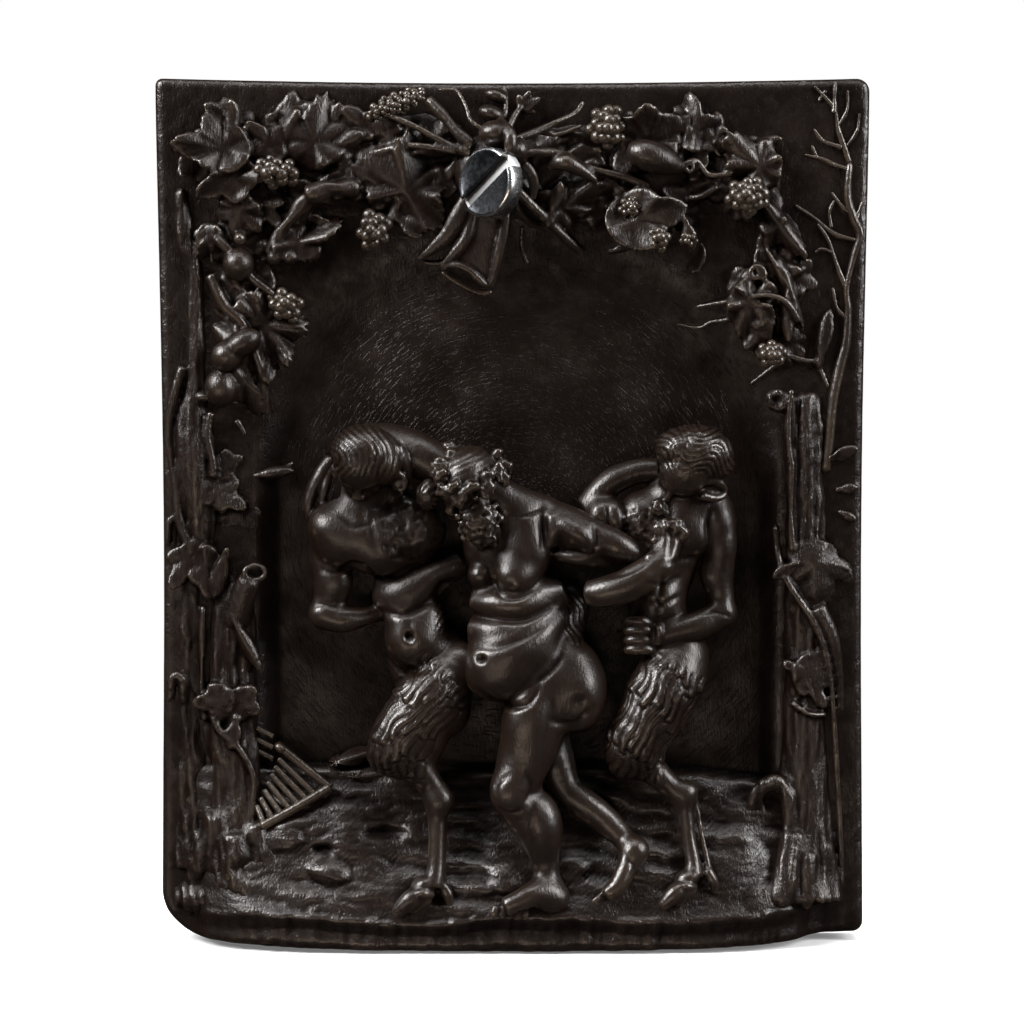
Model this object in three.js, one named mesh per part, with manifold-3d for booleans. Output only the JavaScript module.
// A cast bronze relief plaque: a drunken Silenus led along by two goat-legged satyrs, under a garland
// of vine hung between two trees, with one slotted screw through the bow at its top.
//
// Millimetres. X runs to the right, Z up, and the relief looks towards -Y. The flat back lies in the
// plane y = 0 with the origin at its middle. Inside this file a place on the relief is written
// (x, z, h), where h is the height above the back plane, so that y = -h.

import * as THREE from "three";
import { mergeVertices } from "three/addons/utils/BufferGeometryUtils.js";
import Module from "manifold-3d";

const wasm = await Module();
wasm.setup();

// ---------------------------------------------------------------- driving sizes

const PLAQUE = { width: 157, top: 96, bottom: -94, border: 9, waist: 0.9 };
const FIELD = { left: -57, right: 59.5, low: -70, spring: 22, crown: 66, floor: 5.5, slope: 3 };
const LEDGE = { left: -70, right: 66, back: -56, lip: -87.5, lipHeight: 26, foot: 22.5 };
const SCREW = {
  x: -6.2, z: 72.5, h: 19.5, radius: 7.75, rim: 0.9, head: 4.2, shank: 2.7, length: 13,
  slotWidth: 3.2, slotDepth: 1.8, slotTurn: 44, tilt: 42, lean: 7, clearance: 0.3,
};
const ALLOWED_SHIFT = 1.15;
const THIN = 0.1;
const DEG = Math.PI / 180;

const at = (x, z, h) => new THREE.Vector3(x, -h, z);
const OUTWARD = new THREE.Vector3(0, -1, 0);

// ---------------------------------------------------------------- solids

function welded(geometry) {
  const bare = geometry.clone();
  bare.deleteAttribute("normal");
  bare.deleteAttribute("uv");
  return mergeVertices(bare, 1e-4);
}

function solid(geometry) {
  const mesh = geometry.attributes.normal ? welded(geometry) : geometry;
  return new wasm.Manifold(new wasm.Mesh({
    numProp: 3,
    vertProperties: new Float32Array(mesh.attributes.position.array),
    triVerts: new Uint32Array(mesh.index.array),
  }));
}

function geometryOf(manifold) {
  const { vertProperties, triVerts } = manifold.getMesh();
  const geometry = new THREE.BufferGeometry();
  geometry.setAttribute("position", new THREE.BufferAttribute(new Float32Array(vertProperties), 3));
  geometry.setIndex(new THREE.BufferAttribute(new Uint32Array(triVerts), 1));
  return geometry;
}

const joined = (solids) => solids.reduce((sum, next) => sum.add(next));

// ---------------------------------------------------------------- cleaning a joined casting

// Fills the spaces shut in between overlapping forms: only the outer shell is kept.
function outerShell(triangles, count) {
  const parent = Array.from({ length: count }, (_, i) => i);
  const root = (i) => {
    while (parent[i] !== i) i = parent[i] = parent[parent[i]];
    return i;
  };
  for (const [a, b, c] of triangles) {
    parent[root(a)] = root(b);
    parent[root(b)] = root(c);
  }
  const shells = new Map();
  for (const triangle of triangles) {
    const key = root(triangle[0]);
    if (!shells.has(key)) shells.set(key, []);
    shells.get(key).push(triangle);
  }
  return [...shells.values()].sort((one, two) => two.length - one.length)[0];
}

// The squared distance to a plane as ten numbers that can be summed over many planes.
function planeSum(sum, normal, offset) {
  const row = [normal.x, normal.y, normal.z, offset];
  let k = 0;
  for (let i = 0; i < 4; i++) for (let j = i; j < 4; j++) sum[k++] += row[i] * row[j];
}

function distanceSquared(sum, place) {
  const row = [place.x, place.y, place.z, 1];
  let total = 0;
  let k = 0;
  for (let i = 0; i < 4; i++) {
    for (let j = i; j < 4; j++) total += sum[k++] * row[i] * row[j] * (i === j ? 1 : 2);
  }
  return Math.abs(total);
}

// Draws the two ends of an edge together wherever that moves the surface by less than the allowed
// distance, keeps it closed and turns no face over, and so clears the splinters left by joining.
function simplified(geometry, allowed) {
  const places = geometry.attributes.position;
  const pointAt = (_, i) => new THREE.Vector3().fromBufferAttribute(places, i);
  const points = Array.from({ length: places.count }, pointAt);
  const index = Array.from(geometry.index.array);
  const all = Array.from({ length: index.length / 3 }, (_, i) => index.slice(3 * i, 3 * i + 3));
  const triangles = outerShell(all, points.length);
  const around = points.map(() => new Set());
  triangles.forEach((triangle) => triangle.forEach((corner) => around[corner].add(triangle)));
  const neighbours = (v) => new Set([...around[v]].flat().filter((w) => w !== v));
  const across = (triangle, swap, place) => {
    const [a, b, c] = triangle.map((corner) => (swap.includes(corner) ? place : points[corner]));
    return b.clone().sub(a).cross(c.clone().sub(a));
  };
  const longest = (triangle, swap, place) => {
    const [a, b, c] = triangle.map((corner) => (swap.includes(corner) ? place : points[corner]));
    return Math.max(a.distanceTo(b), b.distanceTo(c), c.distanceTo(a));
  };
  const sums = points.map(() => new Float64Array(10));
  for (const triangle of triangles) {
    const normal = across(triangle, []);
    if (normal.length() < 1e-6) continue;
    normal.normalize();
    const offset = -normal.dot(points[triangle[0]]);
    triangle.forEach((corner) => planeSum(sums[corner], normal, offset));
  }
  const turnsOver = (triangle, pair, place) => {
    const before = across(triangle, []);
    const after = across(triangle, pair, place);
    const wasThin = before.length() < THIN * longest(triangle, []);
    const isThin = after.length() < (THIN / 6) * longest(triangle, pair, place);
    return isThin || (!wasThin && before.dot(after) < 0.25 * before.length() * after.length());
  };
  const drawTogether = (keep, drop, limit) => {
    const sum = sums[keep].map((value, i) => value + sums[drop][i]);
    const choices = [0.5, 0, 1].map((share) => points[keep].clone().lerp(points[drop], share));
    const costs = choices.map((place) => distanceSquared(sum, place));
    const cost = Math.min(...costs);
    if (cost > limit * limit) return;
    const place = choices[costs.indexOf(cost)];
    const near = neighbours(keep);
    if ([...neighbours(drop)].filter((v) => near.has(v)).length !== 2) return;
    const gone = [...around[keep]].filter((triangle) => around[drop].has(triangle));
    const moved = [...around[keep], ...around[drop]].filter((triangle) => !gone.includes(triangle));
    if (moved.some((triangle) => turnsOver(triangle, [keep, drop], place))) return;
    for (const triangle of gone) triangle.forEach((corner) => around[corner].delete(triangle));
    for (const triangle of around[drop]) {
      triangle[triangle.indexOf(drop)] = keep;
      around[keep].add(triangle);
    }
    around[drop].clear();
    points[keep] = place;
    sums[keep] = sum;
  };
  const passes = 5;
  for (let pass = 1; pass <= passes; pass++) {
    for (let keep = 0; keep < points.length; keep++) {
      for (const drop of around[keep].size ? neighbours(keep) : []) {
        if (around[drop].size) drawTogether(keep, drop, (allowed * pass) / passes);
      }
    }
  }
  const left = [...new Set(around.flatMap((set) => [...set]))];
  const clean = new THREE.BufferGeometry();
  const corners = left.flatMap((triangle) => triangle.flatMap((corner) => points[corner].toArray()));
  clean.setAttribute("position", new THREE.Float32BufferAttribute(corners, 3));
  return mergeVertices(clean, 1e-5);
}

// Moves every vertex of a welded geometry by a function of its old place.
function shaped(geometry, move) {
  const mesh = welded(geometry);
  const places = mesh.attributes.position;
  const place = new THREE.Vector3();
  for (let i = 0; i < places.count; i++) {
    place.fromBufferAttribute(places, i);
    move(place, i);
    places.setXYZ(i, place.x, place.y, place.z);
  }
  return mesh;
}

// An egg at (x, z, h) with its half sizes across, up and out, turned in the plaque's plane.
function egg(x, z, h, across, up, out, turn = 0, around = 7, rings = 5) {
  const ball = new THREE.SphereGeometry(1, around, rings);
  ball.rotateX(-Math.PI / 2).scale(across, out, up).rotateY(-turn * DEG).translate(x, -h, z);
  return solid(ball);
}

// A tapering limb through stations [x, z, h, radius]; flat squeezes its section towards the back,
// and a ribbed section takes its odd edges in to the share given by rib.
function limb(stations, sides = 6, flat = 1, rib = 1) {
  const last = stations.length - 1;
  const centres = stations.map(([x, z, h]) => at(x, z, h));
  const frames = centres.map((centre, k) => {
    const along = centres[Math.min(k + 1, last)].clone().sub(centres[Math.max(k - 1, 0)]).normalize();
    const guide = Math.abs(along.y) > 0.96 ? new THREE.Vector3(0, 0, 1) : OUTWARD;
    const side = guide.clone().cross(along).normalize();
    return { centre, along, side, front: along.clone().cross(side), radius: stations[k][3] };
  });
  const tube = new THREE.CylinderGeometry(1, 1, 1, sides, last);
  const edgeAngle = (2 * Math.PI) / sides;
  return solid(shaped(tube, (place) => {
    const k = Math.round((0.5 - place.y) * last);
    const { centre, along, side, front, radius } = frames[k];
    const onAxis = Math.hypot(place.x, place.z) < 0.5;
    const edge = Math.round(Math.atan2(place.x, place.z) / edgeAngle);
    const reach = radius * (Math.abs(edge) % 2 === 1 ? rib : 1);
    const dome = onAxis ? radius * 0.55 * (k === 0 ? -1 : 1) : 0;
    const across = place.x * reach;
    const out = place.z * reach * flat;
    place.copy(centre).addScaledVector(side, across).addScaledVector(front, out);
    place.addScaledVector(along, dome);
  }));
}

// A leaf lying at (x, z, h): tips and notches by turns round a raised middle, its tip towards turn,
// measured from straight up, clockwise. tilt lifts its right edge towards the viewer.
function leaf(x, z, h, length, width, turn, { lobes = 5, notch = 0.62, tilt = 0, thick = 2.6 } = {}) {
  const edges = 2 * lobes;
  const sheet = new THREE.CylinderGeometry(1, 1, 1, edges, 1);
  const step = (2 * Math.PI) / edges;
  const blade = shaped(sheet, (place) => {
    const onAxis = Math.hypot(place.x, place.z) < 0.5;
    const edge = Math.round(Math.atan2(place.x, -place.z) / step);
    const reach = Math.abs(edge) % 2 === 1 ? notch : 1;
    const upward = place.y > 0;
    const px = (place.x * reach * width) / 2;
    const pz = (-place.z * reach * length) / 2;
    const bulge = onAxis ? thick * 0.5 : 0;
    place.set(px, upward ? -(thick + bulge) : bulge * 0.2 + thick, pz);
  });
  blade.rotateZ(-tilt * DEG).rotateY(turn * DEG).translate(x, -h, z);
  return solid(blade);
}

// Berries set round a centre by the golden angle, the middle ones standing highest.
function bunch(x, z, h, count, across, up, radius) {
  const turnBetween = 137.5 * DEG;
  const berries = [];
  for (let i = 0; i < count; i++) {
    const reach = Math.sqrt((i + 0.4) / count);
    const angle = i * turnBetween;
    const lift = h + radius * 0.9 * (1 - reach * reach);
    const [dx, dz] = [across * reach * Math.cos(angle), up * reach * Math.sin(angle)];
    berries.push(egg(x + dx, z + dz, lift - radius, radius * 1.1, radius * 1.1, radius * 2, 0, 5, 3));
  }
  return joined(berries);
}

// A thin stem through places [x, z, h] that narrows from its root to its tip.
function twig(places, root, tip, sides = 3) {
  const last = places.length - 1;
  return limb(places.map(([x, z, h], k) => [x, z, h, root + (tip - root) * (k / last)]), sides);
}

// Pointed locks laid in rows down a limb, from one place to the other, fanning over its width.
function locks(from, to, width, rows, perRow, length, radius) {
  const hair = [];
  const along = new THREE.Vector2(to[0] - from[0], to[1] - from[1]).normalize();
  for (let row = 0; row < rows; row++) {
    for (let i = 0; i < perRow; i++) {
      const down = (row + 0.5) / rows;
      const aside = perRow === 1 ? 0 : (i / (perRow - 1)) * 2 - 1 + (row % 2 ? 0.25 : -0.25) / perRow;
      const rise = Math.sqrt(Math.max(0.1, 1 - 0.8 * aside * aside));
      const [x, z, h, r] = [0, 1, 2, 3].map((k) => from[k] + (to[k] - from[k]) * down);
      const rootX = x + along.y * aside * width * r;
      const rootZ = z - along.x * aside * width * r;
      const tipX = rootX + (along.x + aside * 0.25 * along.y) * length;
      const tipZ = rootZ + (along.y - aside * 0.25 * along.x) * length;
      const lift = h + r * rise;
      hair.push(limb([
        [rootX, rootZ, lift - radius * 0.8, radius * 0.8],
        [rootX * 0.4 + tipX * 0.6, rootZ * 0.4 + tipZ * 0.6, lift, radius * 1.1],
        [tipX, tipZ, lift - radius * 0.4, radius * 0.25],
      ], 3));
    }
  }
  return hair;
}

// ---------------------------------------------------------------- the plate and its ground

// The outline: the long sides drawn in a little at the waist, top and bottom slightly bowed,
// the lower left corner the roundest.
function plateSolid() {
  const half = PLAQUE.width / 2;
  const { top, bottom, waist } = PLAQUE;
  const outline = new THREE.Shape();
  outline.moveTo(-half + 9, bottom + 0.4);
  outline.quadraticCurveTo(0, bottom - 1.6, half - 3.5, bottom + 0.4);
  outline.quadraticCurveTo(half - 1.3, bottom + 0.5, half - 1.4, bottom + 3);
  outline.quadraticCurveTo(half - 1.6 - waist, -15, half - 0.1, top - 3);
  outline.quadraticCurveTo(half, top, half - 3, top);
  outline.quadraticCurveTo(0, top - 1.6, -half + 1.5, top);
  outline.quadraticCurveTo(-half, top, -half, top - 1.5);
  outline.quadraticCurveTo(-half + 2.4 * waist, -30, -half - 0.3, bottom + 11);
  outline.quadraticCurveTo(-half + 0.5, bottom + 0.6, -half + 9, bottom + 0.4);
  const slab = new THREE.ExtrudeGeometry(outline, {
    depth: PLAQUE.border, steps: 1, bevelEnabled: false, curveSegments: 6,
  });
  return solid(slab.rotateX(Math.PI / 2));
}

// The sunk field: straight sides under an arch, its walls sloping in to the floor.
function fieldCut() {
  const { left, right, low, spring, crown, floor, slope } = FIELD;
  const middle = (left + right) / 2;
  const halfWidth = (right - left) / 2 - slope;
  const arch = new THREE.Shape();
  arch.moveTo(left + slope, low);
  arch.lineTo(right - slope, low);
  arch.lineTo(right - slope, spring);
  arch.absellipse(middle, spring, halfWidth, crown - spring - slope, 0, Math.PI, false);
  arch.lineTo(left + slope, low);
  const sunk = PLAQUE.border - floor;
  const dish = new THREE.ExtrudeGeometry(arch, {
    depth: 20, steps: 1, bevelEnabled: true, bevelSegments: 1, curveSegments: 8,
    bevelThickness: sunk + 0.5, bevelSize: slope, bevelOffset: 0,
  });
  return solid(dish.rotateX(Math.PI / 2).translate(0, -floor - (sunk + 0.5), 0));
}

// The rocky ledge: one profile drawn across the plaque, its steps wandering in and out.
function ledgeSolid() {
  const { left, right, back, lip, lipHeight, foot } = LEDGE;
  const bottom = PLAQUE.bottom;
  const profile = [
    [back, 3], [back - 1, 9], [back - 6, 12], [back - 10, 14.5], [back - 17, 18],
    [back - 25, 22.5], [lip + 1, lipHeight - 0.6], [lip - 1, lipHeight], [lip - 3, lipHeight - 1.5],
    [bottom + 0.5, foot], [bottom - 0.6, foot - 3], [bottom + 0.4, 3],
  ];
  const shape = new THREE.Shape(profile.map(([z, h]) => new THREE.Vector2(h, z)));
  const width = right - left;
  const block = new THREE.ExtrudeGeometry(shape, { depth: width, steps: 14, bevelEnabled: false });
  const turned = new THREE.Matrix4().makeBasis(at(0, 0, 1), at(0, 1, 0), at(-1, 0, 0));
  block.applyMatrix4(turned).translate(right, 0, 0);
  return solid(shaped(block, (place) => {
    const height = -place.y;
    const share = (place.x - left) / width;
    const middle = 1 - Math.abs(2 * share - 1) ** 6;
    if (place.z < bottom + 1) place.z -= 1.4 * middle - 0.5;
    if (height < 4) return;
    const wander = Math.sin(share * 19 + place.z * 0.35) + 0.7 * Math.sin(share * 41 - place.z * 0.6);
    const stepped = height - 1.1 * wander * (height > lipHeight - 3 ? 0.4 : 1);
    place.y = -(PLAQUE.border + (stepped - PLAQUE.border) * (0.35 + 0.65 * middle));
    if (place.z > bottom + 1) place.z += 0.8 * Math.sin(share * 23 + 1);
  }));
}

// Boulders, roots and the upright rocky ends that the ledge runs into on both sides.
function groundSolids() {
  const rocks = [
    egg(-68.5, -85.5, 8, 8, 7.5, 6), egg(-54, -80, 12, 12, 7, 8, 20), egg(-40, -79, 17, 8, 4.5, 4.5),
    egg(-2, -77, 18, 8, 5, 5), egg(30, -70, 13, 9, 5, 5), egg(50, -68, 12, 9, 7, 5),
    egg(65, -85.5, 11, 8, 6.5, 7), egg(49, -80, 17, 9, 4, 5, -10), egg(-36, -54.5, 7.5, 6, 3, 4, 20),
    egg(-26, -70, 14, 9, 3.5, 4.5, -8), egg(14, -74, 16, 6, 3, 4),
  ];
  const arch = limb([
    [53, -66, 11, 1.6], [54.5, -61, 12, 1.7], [58, -59.3, 12.5, 1.8], [61, -63, 12, 1.7],
    [61.8, -72, 13, 1.6], [62, -80, 15, 1.4],
  ], 5);
  return [...rocks, arch];
}

// The slatted wooden rack that lies at the foot of the left tree.
function rackSolids() {
  const bars = [
    twig([[-52.5, -51, 9.5], [-40, -60.5, 12.5]], 0.9, 0.9),
    twig([[-40, -60, 13], [-55, -68.4, 15]], 1, 1),
    egg(-51.5, -51.8, 9.8, 1.5, 1.2, 1.5, 40, 6, 4),
  ];
  const slats = 6;
  for (let i = 0; i < slats; i++) {
    const down = i / (slats - 1);
    bars.push(twig([
      [-52 - 4.5 * down, -54.3 - 9.3 * down, 10 + 3 * down],
      [-43.5 - 11 * down, -62 - 5 * down, 13 + 1.6 * down],
    ], 0.62, 0.62));
  }
  for (const z of [-47.5, -50, -52.5]) bars.push(twig([[-57, z, 9], [-53, z - 2, 9.5]], 0.55, 0.55));
  return bars;
}

// ---------------------------------------------------------------- the two trees

function leftTree() {
  const trunk = limb([
    [-62, -16, 7, 4.6], [-62, -28, 7.5, 5], [-62.5, -45, 8, 5.2], [-61.5, -62, 8.5, 5.4],
    [-60, -74, 10, 6.6], [-58, -85, 12, 9],
  ], 12, 1.1, 0.88);
  const second = limb([
    [-72, 14, 6.5, 3.4], [-73, -5, 6.5, 3], [-72.5, -35, 6.5, 3.2], [-73, -62, 6.5, 3.6],
    [-71.5, -84, 7.5, 4.6],
  ], 8, 1, 0.85);
  const upper = limb([
    [-72.5, 73, 9, 1.4], [-72, 62, 9, 1.9], [-70, 54, 9, 2], [-69.5, 40, 9, 2], [-70, 27, 8, 3.2],
    [-70, 14, 7.5, 4.4], [-69.5, 2, 7.5, 4],
  ], 7);
  const stub = limb([[-61, -22, 9, 3.2], [-58.6, -16, 11, 2.8], [-56.8, -12.6, 12.5, 2.9]], 8);
  const vines = [
    twig([[-72.5, 33, 10.5], [-75.5, 24, 10], [-77, 16, 8.5], [-74, 4, 9.5], [-71, -8, 10.5]],
      0.9, 1.1, 4),
    twig([[-67.5, -40, 11], [-65, -47, 13.2], [-60, -51.5, 14.2], [-57.4, -60, 13.5], [-58, -68, 14]],
      0.8, 0.7, 4),
    twig([[-69, 58, 10.5], [-67, 63, 10.5], [-66, 55, 9.5]], 0.8, 0.6),
    twig([[-67, 25.5, 10.5], [-60, 24.5, 8.8]], 0.9, 0.5),
    twig([[-61, 21, 9], [-57.5, 15, 7.5]], 0.9, 0.5),
    twig([[-56, 8.5, 8.5], [-48.5, 11.5, 6.5]], 0.8, 0.5),
  ];
  const roots = [
    limb([[-64, -76, 13, 3], [-66, -82, 12.5, 2.6], [-69, -88, 11, 2]], 6),
    limb([[-57, -76, 14, 3], [-51, -80, 16, 2.4], [-45, -85, 20, 1.6]], 6),
    limb([[-60, -76, 15, 3], [-59, -83, 19, 3], [-58, -88, 22, 2]], 6),
  ];
  const leaves = [
    leaf(-70, -11, 10, 9, 9, 200), leaf(-64.5, -17, 12, 12, 6, 190, { lobes: 3 }),
    leaf(-62, -42, 13, 8, 9.5, 250, { lobes: 4 }), leaf(-61, -24, 12.6, 13, 4.6, 150, { lobes: 3 }),
    leaf(-56, 8.6, 7.5, 9, 4, 88, { lobes: 3, notch: 0.8 }), leaf(-64, 4, 8, 9, 10, 130, { lobes: 5 }),
    leaf(-75, -36, 8, 5, 5, 20, { lobes: 3, notch: 0.85 }), leaf(-76, -2, 8, 7, 5, -10, { lobes: 3 }),
  ];
  return [trunk, second, upper, stub, ...vines, ...roots, ...leaves];
}

function rightTree() {
  const trunk = limb([
    [64, 28.5, 7.5, 3.6], [64.4, 22, 7.5, 4.3], [64.6, 8, 7.5, 4.4], [65, -6, 7.5, 4.6],
    [65, -25, 7.5, 5], [65, -48, 8, 5.4], [65, -70, 9, 5.8], [65, -82, 11, 7], [65, -89, 12, 8.5],
  ], 12, 1.15, 0.86);
  const knot = limb([[58.6, 24.6, 6, 2.6], [58, 25.2, 10, 2.5], [58, 25.2, 11.5, 2]], 7);
  const ridge = twig([[61, 27, 11], [60.6, 12, 11], [61.4, 0, 10.5]], 0.8, 0.8, 4);
  const spread = leaf(66.5, -13.5, 12, 12, 12.5, 175, { lobes: 5, notch: 0.55 });
  const vines = [
    twig([[58, -2, 9], [61, -15, 12.5], [67.5, -27, 13.3], [70.5, -42, 12], [72.5, -64, 11],
      [73.5, -83, 11]],
      0.95, 0.7, 4),
    twig([[67, -20, 12.5], [71, -28, 11.5], [72.4, -42, 9.5]], 1.9, 1.2, 4),
    twig([[60.5, 35, 9.5], [67, 32.5, 9], [69.5, 27.5, 9]], 0.7, 0.5),
    twig([[61.5, -41, 12.5], [65.5, -43.5, 13.8], [69.5, -44, 12]], 0.6, 0.5),
  ];
  const leaves = [
    leaf(65.5, -36, 13, 8.5, 9.5, 110, { lobes: 4, notch: 0.5 }),
    leaf(68, 37, 8.5, 15, 6.5, 14, { lobes: 3, notch: 0.75 }),
    leaf(74, 12, 8.2, 9, 6.5, 60, { lobes: 3 }),
  ];
  const roots = [
    limb([[62, -80, 16, 2.6], [60, -86, 20, 2.4], [57, -90, 22, 1.6]], 6),
    limb([[68, -80, 15, 2.4], [70, -87, 14, 2.4], [72, -89, 10, 1.8]], 6),
  ];
  return [trunk, knot, ridge, spread, ...vines, ...leaves, ...roots];
}

// The bare sapling up the right margin and its forked branches.
function sapling() {
  const h = PLAQUE.border + 0.2;
  const lay = (places) => places.map(([x, z]) => [x, z, h]);
  const stem = lay([[69, 9], [70.2, 17], [70.6, 26], [73.3, 37], [73.8, 48], [75.4, 59], [74, 69],
    [74, 78]]);
  const branches = [
    [[74, 77], [71.5, 84], [70.3, 89], [66, 94]], [[70.3, 88.5], [70.6, 94.6]],
    [[72, 80.5], [68, 82], [66, 84.5]], [[73.5, 75.8], [68, 78], [64, 79]], [[73.6, 66.5], [70, 70.6]],
    [[75, 60.2], [71, 61.5], [66.5, 65], [62, 68]], [[73.6, 49.5], [72, 53], [69.5, 60], [67, 64]],
    [[75.2, 64.5], [77.3, 69]],
  ];
  return [twig(stem, 1.25, 0.8, 4), ...branches.map((branch) => twig(lay(branch), 0.75, 0.45))];
}

// ---------------------------------------------------------------- the garland

function garlandLeft() {
  const leaves = [
    leaf(-66, 80, 10, 13, 11, -80, { tilt: -12 }),
    leaf(-60.5, 86, 11, 11, 6, -8, { lobes: 3, notch: 0.8 }),
    leaf(-55, 84, 10, 10, 7, -35, { lobes: 3 }), leaf(-43, 87.5, 10.5, 15, 13, -5, { notch: 0.55 }),
    leaf(-51, 84.5, 10, 8, 7, 20, { lobes: 4 }), leaf(-37, 81, 10.5, 9, 7, 70, { lobes: 3 }),
    leaf(-65, 72.5, 11, 12, 8, 245, { lobes: 4, tilt: 10 }), leaf(-60, 64, 11, 9, 9, 190, { lobes: 4 }),
    leaf(-41, 61.5, 10, 12, 8, 60, { lobes: 4 }),
    leaf(-51.5, 36.5, 8, 16, 12, 150, { lobes: 6, notch: 0.72 }),
    leaf(-60.5, 42, 10.5, 11, 9, 10, { lobes: 4, notch: 0.8 }),
    leaf(-57, 25.5, 9, 10, 8, 150, { lobes: 4 }),
    leaf(-24, 71.5, 10.5, 17, 17, 12, { notch: 0.6 }), leaf(-34, 75, 10, 7, 6, -60, { lobes: 3 }),
    leaf(-29, 84.3, 9.8, 8, 6, -50, { lobes: 3 }),
    leaf(-16.5, 79.6, 11, 9, 4, 85, { lobes: 3, notch: 0.85 }),
  ];
  const fruit = [
    egg(-60, 55, 11, 4.4, 4, 4, 0, 8, 6), egg(-64, 28, 10.5, 4.6, 5, 4.6, 0, 8, 6),
    egg(-60.5, 36.5, 12, 5.4, 3.2, 3.6, -32, 8, 6), egg(-52, 56.5, 10.5, 1.9, 1.9, 2, 0, 6, 4),
    egg(-48.8, 56.5, 10.5, 1.9, 1.9, 2, 0, 6, 4),
  ];
  const bunches = [
    bunch(-52, 75, 12.2, 8, 5.2, 3, 1.7), bunch(-49.6, 46, 10.5, 6, 3.6, 2.8, 1.5),
    bunch(-30.5, 62.3, 13, 7, 3.4, 4, 1.6), bunch(-25, 90.6, 11.5, 8, 6, 3, 1.4),
  ];
  const stems = [
    twig([[-53.5, 57, 10], [-50, 63, 11.5], [-46.5, 68, 12.5], [-40, 71, 12.5], [-33.5, 71, 11]],
      1.4, 2.6, 6),
    twig([[-28, 88, 11], [-20, 84.5, 12.5], [-11, 80, 14.5]], 1.1, 1.4, 4),
    twig([[-18, 90.5, 11], [-14, 86.5, 12.5], [-8.5, 80.5, 15]], 1.2, 1.5, 4),
    twig([[-16, 93, 9.8], [-11, 92, 10.4], [-9.5, 87, 12.5], [-5.5, 83.5, 15]], 0.7, 0.8),
    twig([[-32, 79, 10], [-24, 80.5, 12], [-12, 79.3, 14]], 0.7, 0.8),
    twig([[-45, 52, 7.5], [-41, 51, 8], [-38.6, 45, 6.5]], 0.6, 0.5),
    twig([[-66.5, 52, 10], [-63, 46, 11], [-58, 40, 12], [-55, 30, 10.5]], 1.3, 1.3, 4),
  ];
  return [...leaves, ...fruit, ...bunches, ...stems];
}

function garlandRight() {
  const leaves = [
    leaf(15, 70, 10.5, 11, 14, 60, { lobes: 6, notch: 0.72 }), leaf(9, 70.2, 12, 10, 5, 20, { lobes: 3 }),
    leaf(30.5, 85.5, 10.5, 15, 12, 20, { notch: 0.6 }), leaf(40.5, 87.5, 10, 10, 8, 8, { notch: 0.6 }),
    leaf(32, 64.8, 12.5, 16, 12, 65, { lobes: 4, notch: 0.8, tilt: 14 }),
    leaf(24.5, 58.6, 8, 8, 5, 70, { lobes: 3 }),
    leaf(52.5, 78, 10.5, 11, 10, -60, { lobes: 6, notch: 0.78 }),
    leaf(59.5, 61, 11, 19, 8, 148, { lobes: 4, notch: 0.7 }),
    leaf(60.5, 48.5, 10, 17, 5, 150, { lobes: 3, notch: 0.85 }),
    leaf(55.5, 42, 10, 13, 12, 130, { lobes: 6, notch: 0.75 }),
    leaf(62.5, 42, 9.5, 13, 4.5, 170, { lobes: 3, notch: 0.85 }),
    leaf(50, 52.5, 9.5, 7, 5, 60, { lobes: 3 }),
  ];
  const gourd = limb([[25.4, 79.6, 12, 2.2], [29, 78.6, 13.6, 3.4], [33.5, 77, 13, 3.1],
    [37, 75.6, 11.5, 1.8]], 7);
  const bunches = [
    bunch(20.5, 84.6, 12, 8, 3.9, 4.6, 1.6), bunch(25.8, 67.3, 12.5, 4, 2.2, 2.2, 1.2),
    bunch(32, 60.4, 14.5, 5, 2.8, 2, 1.3), bunch(51.2, 70, 13.5, 8, 4.2, 3.7, 1.6),
    bunch(57, 35.3, 12, 6, 2.7, 2.7, 1.45),
  ];
  const stems = [
    twig([[0, 81.5, 16], [6, 84, 13.5], [11, 86.5, 12], [15.6, 90.5, 10.2]], 1.3, 0.8, 4),
    twig([[6, 83.6, 13], [15, 85.2, 11.5]], 0.7, 0.6),
    twig([[1, 79, 16], [10, 79, 13.5], [17, 75.8, 13], [29, 72, 12.5]], 1.4, 1, 4),
    limb([[8, 76.4, 13, 1.4], [11.5, 76.6, 14, 1.9], [18, 73.4, 13, 0.7]], 6),
    twig([[36, 77, 11], [38.5, 84, 10.2]], 0.7, 0.6),
    twig([[37.5, 76.6, 12.5], [40, 77.2, 12.5], [43, 74, 11.5], [48, 74.6, 12.5]], 0.7, 0.7),
    twig([[40, 45.6, 7.5], [46, 46.6, 10], [54.5, 48, 12.5], [59.5, 46.8, 12.5], [63, 42, 11]],
      0.9, 0.7, 4),
    twig([[36, 42, 5.5], [41, 41, 6.4], [49, 43, 9.4]], 0.7, 0.9),
    twig([[0, 72, 15], [5, 67, 13.5], [15.5, 57.3, 8.2]], 1.2, 0.9, 4),
    twig([[56, 56, 10], [54, 52, 11], [51.5, 54, 10.5]], 0.9, 0.6),
  ];
  return [...leaves, gourd, ...bunches, ...stems];
}

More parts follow.
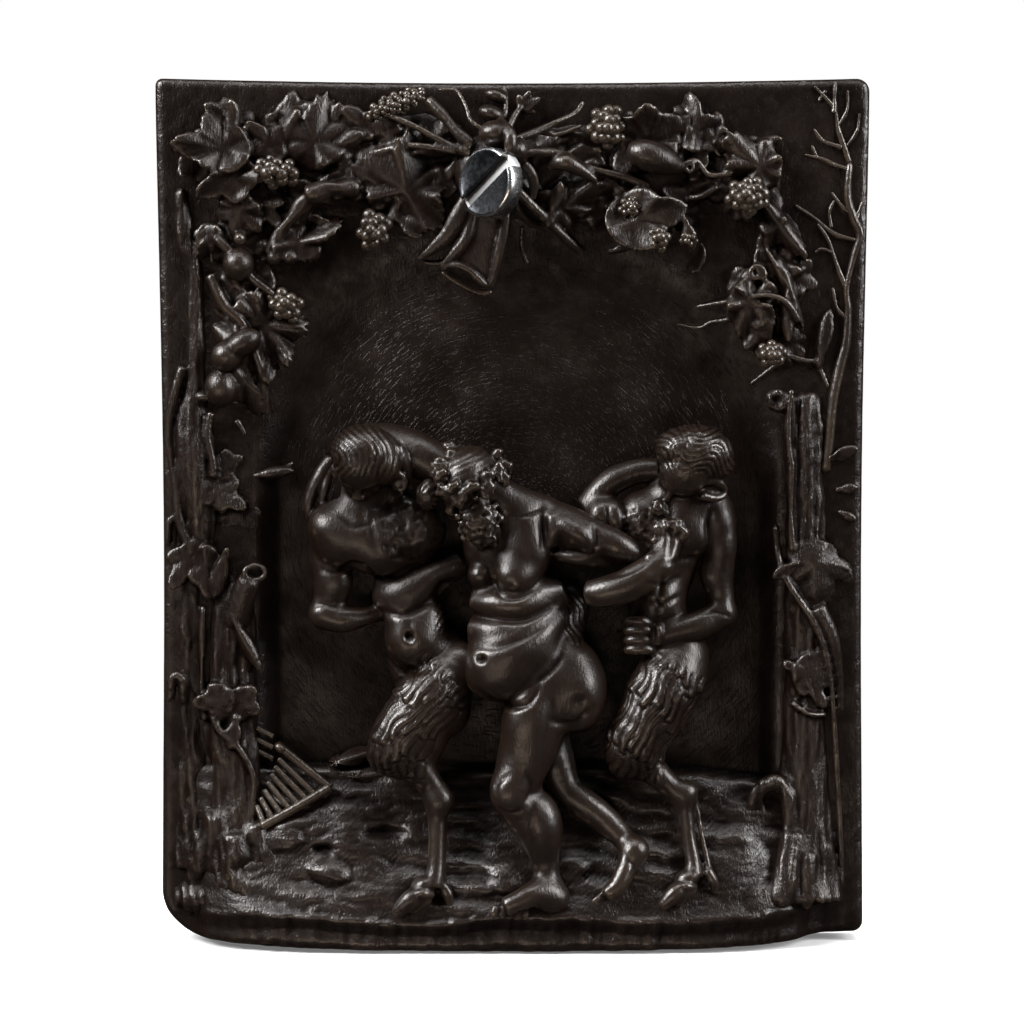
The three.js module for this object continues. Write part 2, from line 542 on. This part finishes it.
// The ribbon bow: its knot, small loops, and two tails that spread and curl at their ends.
function bow() {
  return [
    egg(-4, 83, 15.5, 3.4, 2.8, 4), egg(0.5, 79.4, 15.5, 3.6, 3.2, 4.4),
    egg(-4.6, 75.4, 10, 8.4, 8.6, 6.2, 0, 8, 6),
    limb([[-5.6, 85.4, 13, 1.8], [-6.4, 90, 11, 2.1], [-4, 92, 9.6, 1.5]], 5, 0.8),
    twig([[-1, 84, 13], [0.5, 89, 11.5], [5, 94, 9.6]], 0.8, 0.4),
    leaf(3.2, 91.6, 9.5, 6, 5.5, 45, { lobes: 4, notch: 0.5, thick: 1.6 }),
    limb([[-9, 72, 12, 2.6], [-12.5, 63, 11, 2.7], [-17, 58.6, 9.4, 2.4], [-20.4, 56.2, 8.6, 1.5]],
      6, 0.7),
    limb([[-4.6, 71, 12.4, 4], [-6.4, 62, 11.6, 4.6], [-8.8, 54.6, 9.6, 5.8]], 8, 0.55),
    limb([[-0.8, 69, 14.4, 1.2], [-2.6, 58, 13.4, 1.3], [-4.8, 50.4, 11, 1.2]], 5),
    limb([[-15.4, 53, 9.4, 1.4], [-10, 50.4, 10.4, 1.8], [-4.6, 48.8, 10, 1.4]], 6),
    limb([[1, 76.6, 16, 1.5], [5, 74, 15, 1.7], [4.6, 69.4, 13.5, 1.2]], 5, 0.6),
    twig([[-0.6, 70.6, 13], [2.4, 64.6, 9.6], [6.8, 62.8, 7.4]], 1.1, 0.8),
    twig([[2.2, 65.6, 9.4], [1.8, 59, 6.8], [3.4, 55, 5.6]], 0.7, 0.6),
  ];
}

// ---------------------------------------------------------------- the figures

// A cloven hoof: two toes side by side from the fetlock to the tip.
function hoof(fetlock, tip, radius) {
  return [-0.42, 0.42].map((aside) => limb([
    [fetlock[0] + aside * radius, fetlock[1], fetlock[2], radius * 0.8],
    [(fetlock[0] + tip[0]) / 2, (fetlock[1] + tip[1]) / 2 - 0.4,
      fetlock[2] + aside * radius + 0.8, radius],
    [tip[0] - aside, tip[1], tip[2] + aside * radius, radius * 0.5],
  ], 6));
}

function hand(wrist, reach, fall, fingers, radius) {
  return Array.from({ length: fingers }, (_, i) => {
    const z = wrist[1] - (i - (fingers - 1) / 2) * radius * 1.9;
    return limb([
      [wrist[0], z, wrist[2], radius],
      [wrist[0] + reach * 0.55, z + fall * 0.3, wrist[2] + radius, radius],
      [wrist[0] + reach, z + fall, wrist[2] - radius, radius * 0.7],
    ], 5);
  });
}

function leftSatyr() {
  const hip = [-13, -32, 16, 7.2];
  const knee = [-25.5, -50.5, 20.5, 5.4];
  const body = [
    egg(-32.5, 13.2, 19, 7.6, 6.8, 7.4, 0, 9, 6), egg(-32.5, 7, 19.6, 4.6, 4.6, 5.4, 10),
    egg(-25.2, 7.6, 18.4, 2, 2.8, 2.4),
    limb([[-31, 8, 15, 4.6], [-31.5, 0, 13, 6.5]], 7),
    limb([[-32.4, 2, 12, 8.5], [-31.6, -5, 12.6, 11], [-29, -12, 12.4, 9.4], [-22.6, -18, 12, 8],
      [-20, -26, 13.6, 8.6],
      [-18, -34, 13, 8]], 9),
    egg(-34.5, -6.5, 17.6, 7.4, 4.4, 4.2, 0, 8, 6), egg(-23, -3.6, 16, 6, 5.4, 4.6, 20, 8, 6),
    egg(-22, -15.4, 16.4, 7, 3.4, 4, 14, 8, 6), egg(-39.4, -1.6, 15, 4.8, 4.4, 5),
    egg(-20, -26.4, 16.6, 7, 6.4, 5.6),
    limb([[-40, -2, 14, 4.4], [-40.4, -11, 13.4, 4], [-40.6, -20, 13.6, 3.3]], 7),
    limb([[-41.6, -21.6, 14, 3.1], [-36, -22.4, 15.4, 2.8], [-29, -21.6, 14.6, 2.1]], 7),
  ];
  const embrace = [
    limb([[-10, 8, 15, 5.4], [-17, 14, 14.6, 4.8], [-24, 16.4, 13, 4.4], [-34, 16, 10, 4]], 7),
    limb([[-38, 13.4, 11, 2.8], [-43, 7.6, 12, 2.4], [-45.6, 2, 12, 1.9], [-43.6, -3.6, 13, 1.2]], 6),
    limb([[-40.6, 9, 12, 1.5], [-42, 3, 13.4, 1.2], [-41.6, -1, 14, 0.9]], 5),
  ];
  const leg = [
    limb([hip, [-19.5, -42, 19, 7.4], knee, [-26.4, -55, 19.6, 3.4]], 9),
    limb([[-24, -52, 19, 3.8], [-20, -57, 18.6, 3.2], [-15.6, -62, 19, 2.7], [-16, -70, 20, 1.9],
      [-17, -79.5, 22, 2.1]], 7),
    egg(-17.4, -80.6, 22.4, 2.9, 2, 2.8, 0, 7, 5), ...hoof([-19.5, -82, 23], [-25.6, -87, 24.6], 2.6),
    limb([[-15.4, -80, 21, 1.4], [-13.6, -84.4, 21.6, 1.1]], 5),
    limb([[-28, -30, 12, 2.6], [-27, -35, 12.5, 2.4], [-23.6, -39, 14, 1.8]], 6),
    limb([[-8, -38, 17, 2], [-14, -45, 17, 1.6]], 5), limb([[-20, -49, 18, 2], [-12.4, -57, 15.4, 1]], 5),
  ];
  const fur = [
    ...locks(hip, knee, 0.75, 4, 3, 5.6, 1.5), ...locks([-28, -51, 19, 3], [-24, -55, 18, 2.5],
      1, 1, 3, 4.6, 1.1),
    ...locks([-31, 19.5, 17.4, 4.6], [-33, 9, 19, 5.8], 1.1, 2, 4, 5.4, 1.3),
  ];
  return [...body, ...embrace, ...leg, ...fur];
}

function silenus() {
  const head = [
    egg(-9.6, 10.4, 20.6, 7, 6.6, 7.2, 0, 9, 6), egg(-14, 3.4, 22, 4.4, 4.8, 5, -20),
    egg(-6, -1, 21, 4.8, 6.2, 5, 0, 8, 6),
    egg(-19, 5, 21, 2.8, 3.6, 3), egg(-0.8, 10.4, 19.6, 2.4, 3, 3),
    limb([[-19, 9, 23, 1.2], [-13, 8.6, 26.6, 1.4],
      [-7.4, 6, 26, 1.4], [-3, 8.4, 22.4, 1.2]], 6),
    limb([[-5, 6, 16, 5.4], [-1, -1, 15, 7]], 8),
  ];
  const curls = [];
  for (let i = 0; i < 7; i++) {
    const angle = i * 137.5 * DEG;
    const reach = Math.sqrt((i + 0.5) / 7);
    curls.push(egg(-6 + 4.2 * reach * Math.cos(angle), -1.4 + 5 * reach * Math.sin(angle),
      25.4 - 2.4 * reach * reach, 1.9, 1.9, 2, 0, 5, 4));
  }
  const trunk = [
    limb([[0, 2, 14, 7], [0.6, -6, 14.6, 9], [0.6, -14, 15, 8.4], [2, -22, 15, 9], [0.5, -30, 16, 10.4],
      [2, -38, 16, 9.6], [4, -44, 15, 7.6]], 10),
    egg(1.4, -12.4, 21.4, 4.6, 5.4, 4.2, 0, 8, 6), egg(-6.8, -12.6, 19.6, 3.8, 4.2, 3.8, 0, 8, 6),
    egg(1.4, -19.8, 20.4, 8, 2.8, 5, 0, 9, 6), egg(-0.8, -29.6, 20.4, 9.4, 8.4, 8, 0, 11, 8),
    egg(13.4, -37.6, 17, 7.4, 9.4, 8, 0, 10, 7), egg(9.6, -24.6, 15.6, 4.6, 5, 6),
    egg(-2.4, -43.6, 18.4, 2, 2.4, 2.4, 0, 6, 5),
  ];
  const leg = [
    limb([[6, -38, 17, 8.6], [4.4, -47, 18.6, 7.2], [2.2, -55, 20, 5.8], [0.8, -61, 21.4, 4.9],
      [4.2, -67, 20.4, 4.7], [7.4, -74, 20.4, 3.4], [7.6, -81, 21, 2.9]], 9),
    egg(-0.6, -60.8, 23.4, 3, 3.4, 3), egg(8.4, -66.6, 19.6, 3.4, 5.2, 4),
    limb([[8, -82, 21.4, 3], [3, -84, 24, 2.7], [-2.6, -85.4, 25.4, 2]], 7, 0.8),
    limb([[10, -55, 14.6, 5], [15, -62.6, 16, 3.7], [20.4, -67.4, 16.6, 3.2], [24.4, -72, 17, 2.5]], 8),
    egg(26.6, -73.2, 17.4, 2.4, 2.6, 2.4, -30), limb([[24.4, -73, 17.6, 2.3], [22.6, -79, 19.6, 2],
      [18, -83.2, 22, 1.3]], 6),
  ];
  for (let toe = 0; toe < 5; toe++) {
    leg.push(egg(-3.4 + toe * 1.5, -86 - toe * 0.22, 26 - toe * 0.25, 0.9, 0.8, 1.2, 0, 6, 4));
  }
  const arm = [
    egg(9.6, -0.6, 17.6, 5.6, 5.4, 5.6, 0, 9, 6), limb([[7, 1, 15, 5], [14, -1.6, 18.4, 4.7],
      [20, -3.4, 19, 4.2]], 8),
    limb([[17.6, -3.6, 18.6, 4], [23, -5.2, 19.2, 3.5], [30, -8.6, 18, 2.6]], 7),
    limb([[8, -7, 19, 1.2], [14, -9.4, 20.4, 1.6], [21, -10, 19.4, 1]], 5),
  ];
  return [...head, ...curls, ...trunk, ...leg, ...arm, egg(13.4, -21, 9.4, 4.6, 5.6, 5.4),
    ...locks([13, -18, 10.6, 3.4], [15.6, -26, 10.4, 3.4], 1, 1, 3, 6, 1.3)];
}

function rightSatyr() {
  const hip = [37, -31, 13, 7.2];
  const knee = [26, -51, 17.6, 5.2];
  const body = [
    egg(40, 13.6, 18, 8.4, 6.6, 7.4, 0, 9, 6), egg(36, 6, 18.6, 4.8, 5, 5.4, 20),
    egg(31.6, 1.4, 18.6, 1.6, 2, 1.8, 20, 6, 4),
    limb([[41.6, 8.2, 18, 1.5], [44.4, 6, 19, 1.9], [46.6, 5.4, 19, 0.8]], 6, 0.6),
    limb([[36, 6, 14, 4.6], [34.6, 0, 13, 6]], 7),
    limb([[34, 2, 11.6, 10], [35, -5, 12, 11], [34, -14, 12, 8.4], [33, -22, 12.2, 7.6],
      [35, -31, 12, 8]], 9),
    limb([[33, 9, 12, 3.6], [25, 8.4, 12.4, 4], [18.4, 3, 12.6, 4.2], [15, -6, 13, 4]], 7),
    egg(20.6, 0.4, 15.4, 4.4, 4, 4, 30, 8, 6), egg(45, -3.4, 15.6, 4, 5.6, 4.4, 8, 8, 6),
    limb([[44, 2, 13.6, 4], [45.4, -6, 14.4, 4], [45, -14, 14, 3.4], [46, -20.6, 14.4, 3.2]], 8),
    limb([[46.2, -21.4, 15, 3.1], [40, -24, 17, 3.3], [32.4, -26, 17.6, 2.4]], 8),
    egg(31, -17.6, 16, 5, 4.6, 4),
    limb([[15.2, -16, 22, 2.9], [20, -15.6, 23.4, 3.6], [27, -13.4, 23.4, 3.7], [33.4, -9, 21.6, 2.7],
      [34, -3.6, 20.4, 2]], 9),
    egg(33.8, -3.6, 20.6, 2.8, 2.4, 2.4), bunch(34.4, -1.2, 23, 6, 2.7, 1.6, 1.05),
    ...hand([31.6, -26, 18.4], -6.4, 0.4, 4, 0.95),
  ];
  const leg = [
    limb([hip, [32, -41, 16, 7.2], knee, [25, -56, 16.6, 3]], 9),
    limb([[26, -52, 16.6, 3.4], [31, -57, 16.6, 3], [37.4, -61.4, 17, 2.5], [38, -68, 18, 1.8],
      [39.4, -77.6, 20, 2]], 7),
    egg(39.2, -60, 17, 1.6, 1.6, 1.8, 0, 6, 5), twig([[39.6, -62, 16.6], [42.8, -76.6, 18]], 0.8, 0.8),
    egg(39.4, -78.8, 20.6, 3, 2.1, 2.8, 0, 7, 5), ...hoof([38.4, -80, 21.4], [32.8, -85.4, 24], 2.5),
    limb([[42.4, -78, 18.6, 1.4], [43.6, -82, 19.6, 1]], 5),
    limb([[26.6, -55, 15, 1.8], [27.4, -62, 15, 0.8]], 5),
    limb([[27, -29, 13, 1.6], [23.6, -34, 13, 0.9]], 5),
  ];
  const fur = [
    ...locks(hip, knee, 0.75, 4, 3, 5.6, 1.5), ...locks([24, -50, 16, 3], [23.4, -54, 16, 2.4],
      1, 1, 2, 4.4, 1.1),
    ...locks([44, 18, 16.8, 4.6], [36, 9, 18.6, 6], 1.1, 2, 4, 6, 1.5),
  ];
  return [...body, ...leg, ...fur];
}

// ---------------------------------------------------------------- the screw

// Turns and moves a shape drawn about the Z axis, head up, onto the tilted axis of the screw.
function onScrewAxis(geometry) {
  const { x, z, h, tilt, lean } = SCREW;
  return geometry.rotateX(Math.PI / 2).rotateZ(-tilt * DEG).rotateY(lean * DEG).translate(x, -h, z);
}

function screwSolid(gap) {
  const { radius, rim, head, shank, length } = SCREW;
  const profile = [
    [0, -length - gap], [shank + gap, -length - gap], [shank + gap, -head - gap],
    [radius + gap, -head - gap],
    [radius + gap, gap ? 20 : -rim], ...(gap ? [[0, 20]] : [[radius - rim, 0], [0, 0]]),
  ].map(([r, y]) => new THREE.Vector2(r, y));
  const turned = new THREE.LatheGeometry(profile, 28).rotateX(Math.PI / 2);
  return solid(onScrewAxis(turned));
}

function slotCut() {
  const { radius, slotWidth, slotDepth, slotTurn } = SCREW;
  const bar = new THREE.BoxGeometry(radius * 3, slotWidth, slotDepth * 2).rotateZ(slotTurn * DEG);
  return solid(onScrewAxis(bar));
}

// ---------------------------------------------------------------- the part

const bronze = new THREE.MeshStandardMaterial({ color: 0x2a1c15, roughness: 0.42, metalness: 0.9 });
const chrome = new THREE.MeshStandardMaterial({ color: 0x3b3f45, roughness: 0.12, metalness: 1 });

const castPieces = [
  plateSolid().subtract(fieldCut()), ledgeSolid(), ...groundSolids(), ...rackSolids(), ...leftTree(),
  ...rightTree(), ...sapling(), ...garlandLeft(), ...garlandRight(), ...bow(), ...leftSatyr(),
  ...silenus(), ...rightSatyr(),
];
const casting = solid(simplified(geometryOf(joined(castPieces)), ALLOWED_SHIFT));
const plaque = casting.subtract(screwSolid(SCREW.clearance));
const screw = screwSolid(0).subtract(slotCut());

function named(name, manifold, material) {
  const geometry = geometryOf(manifold);
  geometry.computeVertexNormals();
  const mesh = new THREE.Mesh(geometry, material);
  mesh.name = name;
  return mesh;
}

const part = new THREE.Group();
part.name = "silenus_relief";
part.add(named("relief_plaque", plaque, bronze), named("fixing_screw", screw, chrome));

export default part;
